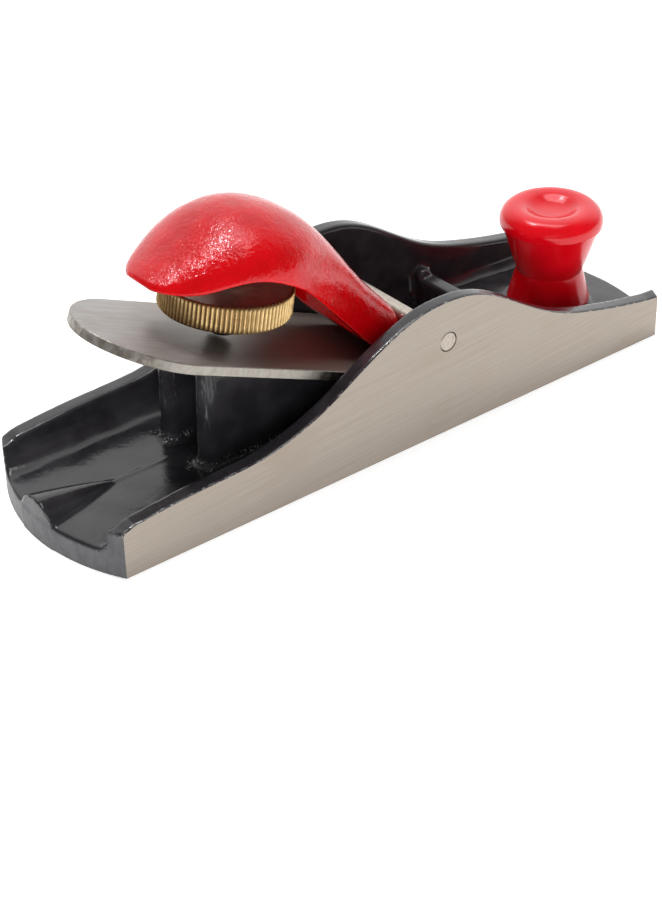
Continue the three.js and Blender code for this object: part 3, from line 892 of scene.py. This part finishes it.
def cap_half_width(x):
    """Half an ellipse towards the tip, and a cosine ease from the widest place to the neck."""
    back = np.clip((x - CAP_WIDEST_X) / (CAP_TIP_X - 0.6 - CAP_WIDEST_X), 0, 0.999)
    along = np.clip((x - CAP_WIDEST_X) / (NECK_X - CAP_WIDEST_X), 0, 1)
    neck = NECK_HALF + (CAP_HALF - NECK_HALF) * (1 + np.cos(np.pi * along)) / 2
    return np.where(x < CAP_WIDEST_X, CAP_HALF * np.sqrt(1 - back ** 2), neck)


def dome(x, y, z, inset):
    """A superellipse section that grows squarer towards the neck."""
    least, tiny = 0.8, 1e-6
    power = np.interp(x, (-35, 7), (2, 3.2))
    rim = np.interp(x, *CAP_RIM)
    half = np.maximum(cap_half_width(x) - inset, least)
    rise = np.maximum(np.interp(x, *CAP_CREST) - rim - inset, least)
    a = np.maximum(np.abs(y) / half, tiny)
    b = np.maximum((z - rim) / rise, tiny)
    size = (a ** power + b ** power) ** (1 / power)
    slope = np.hypot((a / size) ** (power - 1) / half, (b / size) ** (power - 1) / rise)
    return (size - 1) / slope


def tongue_outline():
    """Side outline of the hook: shoulder behind the pin, seat under it, tongue on the iron."""
    seat, arc_points, top = PIN_RADIUS + GAP, 14, 31.0
    fall = math.tan(BED_ANGLE)

    def over_iron(x, lift=0.0):
        return x, IRON_TOP - x * fall + GAP / BED_COS + lift

    outline = [(SHOULDER_X, top), (SHOULDER_X, PIN_Z)]
    for angle in np.linspace(math.pi, math.pi * 1.5 - BED_ANGLE, arc_points)[1:]:
        outline.append((PIN_X + seat * math.cos(angle), PIN_Z + seat * math.sin(angle)))
    seat_x, seat_z = outline[-1]
    outline += [(13, seat_z - (13 - seat_x) * fall), (20, 14.6), (TONGUE_TIP_X - 0.8, 7.9),
                (TONGUE_TIP_X, 6.9), over_iron(TONGUE_TIP_X), over_iron(24),
                over_iron(23, TONGUE_LIFT), over_iron(4, TONGUE_LIFT), over_iron(-5, 4), (-5, top)]
    return outline


TONGUE = tongue_outline()


def cap_field(x, y, z):
    side = np.abs(y)
    outer = meet(dome(x, y, z, 0.0), -above(CAP_RIM, x, z), 0.5)
    outer = meet(outer, CAP_TIP_X - x, 0.9)
    outer = meet(outer, x - SHOULDER_X, 0.6)
    hollow = np.maximum(dome(x, y, z, CAP_WALL), np.maximum(CAP_TIP_X + CAP_WALL - x, x + 4))
    shell = carve(outer, hollow, 0.9)

    dx, dz = x - WHEEL_BASE.x, z - WHEEL_BASE.z
    climb = dx * WHEEL_AXIS.x + dz * WHEEL_AXIS.z
    off_axis = np.hypot(dx * WHEEL_AXIS.z - dz * WHEEL_AXIS.x, y)
    boss = meet(off_axis - BOSS_RADIUS, WHEEL_THICKNESS + BOSS_BASE - climb, 0.7)
    shell = np.maximum(join(shell, np.maximum(boss, outer), 1.6), outer)

    flare = np.interp(x, *TONGUE_FLARE)
    hook = meet(polygon(TONGUE, x, z) + 0.05, side - flare, 0.8)
    web = np.maximum(hook, np.maximum(x - SHOULDER_X, outer))
    tongue = np.maximum(hook, np.maximum(5 - x, z - 21.5))
    solid = np.minimum(np.maximum(join(shell, web, 1.2), outer), tongue)
    hole = np.maximum(off_axis - SCREW_RADIUS - SCREW_CLEARANCE,
                      climb - WHEEL_THICKNESS - SCREW_HOLE_TOP)
    return carve(solid, hole, 0.35)


def lever_cap():
    margin = 1.5
    vertices, quads = surface_of(cap_field, cap_low - margin, cap_high + margin, CAP_GRID)
    made = object_from("lever_cap_shell", vertices, quads.tolist(), [red_enamel()], sharp_over=60)
    stands_for(made, "lever_cap", "cap")


# ---- thumb wheel, screw and knob ----
def thumb_wheel():
    """Turned outline round its own axis from the base up, then the knurl cut into the rim."""
    teeth, depth, per_tooth = 90, 0.34, 12
    top, rim, bore = WHEEL_THICKNESS, WHEEL_RADIUS, SCREW_RADIUS + SCREW_CLEARANCE
    crest = rim - 0.08
    land = rim - depth - 0.12       # the flat faces end here
    base = [(bore, 0.35), (bore + 0.35, 0), (rim - 2.2, 0), (land - 0.3, 0), (land, 0.08)]
    edge = [(crest, 0.5), *((rim, height) for height in (0.65, 1.8, 3.0, 4.2, 5.2, top - 0.45)),
            (crest, top - 0.32)]
    face = [(land, top - 0.06), (land - 0.1, top), (land - 0.35, top), (land - 0.5, top - 0.12),
            (8, top - 0.12), (bore + 2.6, top - 0.12), (bore + 2.4, top), (bore + 0.35, top),
            (bore, top - 0.35)]

    def knurled(radius, height, angle):
        groove = depth * (0.5 + 0.5 * np.cos(angle * teeth)) ** 0.8
        near_rim = np.clip((radius - land) / (crest - land), 0, 1)
        return radius - groove * near_rim, height

    made = lathe("thumb_wheel_knurled", base + edge + face + base[:1],
                 [brass_face(), brass_knurl()], upright(*WHEEL_BASE, WHEEL_AXIS),
                 teeth * per_tooth, knurled, sharp_over=40)
    places = np.zeros(len(made.data.vertices) * 3)
    made.data.vertices.foreach_get("co", places)
    spread = np.hypot(*places.reshape(-1, 3)[:, :2].T) * MM_PER_M
    for quad in made.data.polygons:
        if spread[list(quad.vertices)].mean() > land - 0.4:
            quad.material_index = 1
    stands_for(made, "thumb_wheel", "wheel")


def threaded(name, place, radius, low, high, thread_low, thread_high, nose=None):
    """A rod with a helical thread between two heights, chamfered ends, or a round nose below."""
    around, rows_per_turn, groove_depth = 48, 12, 0.55
    top_chamfer, base_chamfer, nose_tip = 0.5, 0.4, 0.2
    rows = np.arange(low, high + 1e-6, PITCH / rows_per_turn)
    angle = np.arange(around) * 2 * math.pi / around
    height = np.repeat(rows[:, None], around, 1)
    phase = (height / PITCH - angle[None] / (2 * math.pi)) % 1
    groove = groove_depth * (1 - np.abs(2 * phase - 1)) ** 0.8
    ease = np.clip(np.minimum(height - thread_low, thread_high - height) / PITCH, 0, 1)
    reach = radius - groove * ease
    reach = np.minimum(reach, radius - top_chamfer + (high - height))
    if nose is None:
        reach = np.minimum(reach, radius - base_chamfer + (height - low))
    else:
        drop = np.clip(low + nose - height, 0, nose)
        reach = np.minimum(reach, np.maximum(np.sqrt(nose ** 2 - drop ** 2), nose_tip))
    vertices = np.stack([reach * np.cos(angle), reach * np.sin(angle), height], -1).reshape(-1, 3)
    last = (len(rows) - 1) * around
    faces = ring_quads(len(rows), around)
    faces.append(tuple(range(around))[::-1])
    faces.append(tuple(last + i for i in range(around)))
    return object_from(name, vertices, faces, [dark_steel()], place, sharp_over=50)


def wheel_screw():
    """Its round nose stands a gap above the iron, and its thread runs up from the wheel."""
    nose, top = 6.0, WHEEL_THICKNESS + 11.5
    above_iron = (WHEEL_BASE.z - IRON_TOP + WHEEL_BASE.x * math.tan(BED_ANGLE)) * BED_COS
    tilt = math.atan2(WHEEL_AXIS.x, WHEEL_AXIS.z)
    centre = (nose + GAP - above_iron) / math.cos(BED_ANGLE - tilt)
    made = threaded("wheel_screw_threaded", upright(*WHEEL_BASE, WHEEL_AXIS), SCREW_RADIUS,
                    centre - nose, top, WHEEL_THICKNESS + 0.6, top, nose)
    stands_for(made, "wheel_screw", "screw")


def knob_stud():
    low, high = stud_low[2] - KNOB_SEAT, stud_high[2] - KNOB_SEAT
    made = threaded("knob_stud_threaded", upright(KNOB_X, 0, KNOB_SEAT), STUD_RADIUS,
                    low, high, low, high)
    stands_for(made, "knob_stud", "plane")


def front_knob():
    """Turned outline: foot, waist, flared neck, a crease under the rolled head, a dished top."""
    around, hole = 160, STUD_RADIUS + 0.2
    foot = [(hole, GAP), (hole, GAP), (10.0, GAP), (10.0, GAP), (10.55, 0.6), (10.75, 1.3),
            (10.7, 1.9), (10.4, 3.0)]
    waist = [(9.45, 6.7), (8.72, 9.6), (8.63, 10.0), (8.75, 10.5), (9.75, 13.5), (10.9, 17.2),
             (11.9, 20.4)]
    head = [(12.6, 22.5), (12.6, 22.5), (13.0, 22.5), (13.22, 22.7), (13.3, 23.1), (13.3, 24.2),
            (13.1, 25.1), (12.7, 25.95), (12.0, 26.8), (10.8, 27.6), (9.3, 27.9), (8.0, 27.8),
            (7.0, 27.5)]
    dish = [(6.3, 27.1), (5.5, 26.6), (4.5, 26.1), (3.2, 25.75), (1.6, 25.58), (0, 25.55)]
    bore = [(0, 17.8), (0, 17.8), (hole, 16.6), (hole, 16.6), (hole, GAP)]
    place = upright(KNOB_X, 0, KNOB_SEAT)
    outside = eased(foot + waist + head + dish, 5)
    made = lathe("front_knob_turned", outside, [red_plastic()], place, around)
    inner = lathe("knob_bore", bore, [red_plastic()], place, around)
    bm = bmesh.new()
    bm.from_mesh(made.data)
    bm.from_mesh(inner.data)
    bmesh.ops.remove_doubles(bm, verts=bm.verts, dist=1e-6)
    bmesh.ops.recalc_face_normals(bm, faces=bm.faces)
    bm.to_mesh(made.data)
    bm.free()
    bpy.data.objects.remove(inner)
    stands_for(made, "front_knob", "plane")


# ---- floor, lights and camera ----
WHITE = (1, 1, 1, 1)
LIT_PLACE = Vector((0, 0, 0.03))    # where the softboxes face
SKY_FADE = (0.25, 0.95)    # cosine of the angle from the brightest place: dim, and bright


def floor():
    """A pale floor that glows a little, so that the far side of the frame stays white."""
    reach = 4.0
    s = Shader("pale_floor", Roughness=0.9, Specular_IOR_Level=0.0, Emission_Strength=0.55)
    s.base.inputs["Emission Color"].default_value = WHITE
    grain = s.noise(60.0, detail=2.0)
    s.set(Base_Color=s.blend(grain, (0.93, 0.93, 0.93), (0.95, 0.95, 0.95)))
    corners = [(-reach, -reach, 0), (reach, -reach, 0), (reach, reach, 0), (-reach, reach, 0)]
    mesh = bpy.data.meshes.new("studio_floor")
    mesh.from_pydata(corners, [], [(0, 1, 2, 3)])
    mesh.materials.append(s.material)
    link("studio_floor", mesh)


VIEW_YAW = math.radians(37.78)    # from +Y towards +X
VIEW_PITCH = math.radians(31.46)
VIEW_ROLL = math.radians(-1.23)
VIEW_DISTANCE = 0.494
VIEW_OFFSET = Vector((-0.0021, 0.0038, 0.0041))    # of the target from the middle of the sole
FOCAL_LENGTH = 80.0
SENSOR_WIDTH = 36.0
SHIFT_UP = -66 / 902    # the object sits high in the tall frame


def camera():
    data = bpy.data.cameras.new("camera")
    data.lens = FOCAL_LENGTH
    data.sensor_width = SENSOR_WIDTH
    data.shift_y = SHIFT_UP
    data.clip_start = 0.01
    data.clip_end = 20
    yaw_sin, yaw_cos = math.sin(VIEW_YAW), math.cos(VIEW_YAW)
    pitch_sin, pitch_cos = math.sin(VIEW_PITCH), math.cos(VIEW_PITCH)
    ahead = Vector((pitch_cos * yaw_sin, pitch_cos * yaw_cos, -pitch_sin))
    level = Vector((yaw_cos, -yaw_sin, 0))
    right = level * math.cos(VIEW_ROLL) + level.cross(ahead) * math.sin(VIEW_ROLL)
    low, high = cad_box
    target = Vector(((low.x + high.x) / 2, (low.y + high.y) / 2, low.z)) + VIEW_OFFSET
    turned = Matrix((right, right.cross(ahead), -ahead)).transposed().to_4x4()
    place = Matrix.Translation(target - ahead * VIEW_DISTANCE) @ turned
    bpy.context.scene.camera = link("camera", data, place)


def softbox(name, place, size, power, turn=0):
    """A rectangle of light that faces the plane, turned by some degrees about its own axis."""
    data = bpy.data.lights.new(name, "AREA")
    data.shape = "RECTANGLE"
    data.size, data.size_y = size
    data.energy = power
    place = Vector(place)
    aim = Vector((0, 0, 1)).rotation_difference(place - LIT_PLACE).to_matrix().to_4x4()
    spin = Matrix.Rotation(math.radians(turn), 4, "Z")
    return link(name, data, Matrix.Translation(place) @ aim @ spin)


def sky(back, dim, bright):
    """Soft light from all round, brightest behind the plane. The camera sees it as white."""
    world = bpy.data.worlds.new("studio")
    bpy.context.scene.world = world
    world.use_nodes = True
    nodes, links = world.node_tree.nodes, world.node_tree.links
    background = nodes["Background"]
    away = nodes.new("ShaderNodeVectorMath")
    away.operation = "DOT_PRODUCT"
    links.new(nodes.new("ShaderNodeTexCoord").outputs["Generated"], away.inputs[0])
    away.inputs[1].default_value = Vector(back).normalized()
    level = nodes.new("ShaderNodeMapRange")
    level.interpolation_type = "SMOOTHSTEP"
    links.new(away.outputs["Value"], level.inputs[0])
    for socket, value in zip(level.inputs[1:5], (*SKY_FADE, dim, bright)):
        socket.default_value = value
    seen = nodes.new("ShaderNodeMath")
    seen.operation = "MAXIMUM"
    links.new(level.outputs[0], seen.inputs[0])
    links.new(nodes.new("ShaderNodeLightPath").outputs["Is Camera Ray"], seen.inputs[1])
    links.new(seen.outputs[0], background.inputs["Strength"])
    background.inputs["Color"].default_value = WHITE


def lights():
    sky((0.6, 0.66, 0.4), 0.16, 1.35)
    softbox("overhead_panel", (0.04, 0.14, 1.0), (0.84, 0.34), 3.7, -68)
    softbox("overhead_key", (-0.16, 0.3, 1.0), (0.06, 0.06), 1.6)
    fill = softbox("front_fill", (-0.7, -0.9, 0.36), (0.8, 0.5), 7.0)
    fill.visible_glossy = False     # it leaves no highlight of its own
    bpy.context.scene.view_settings.view_transform = "Standard"


# ---- scene ----
camera()
lights()
floor()
body_casting()
cross_pin()
cutting_iron()
lever_cap()
thumb_wheel()
wheel_screw()
front_knob()
knob_stud()
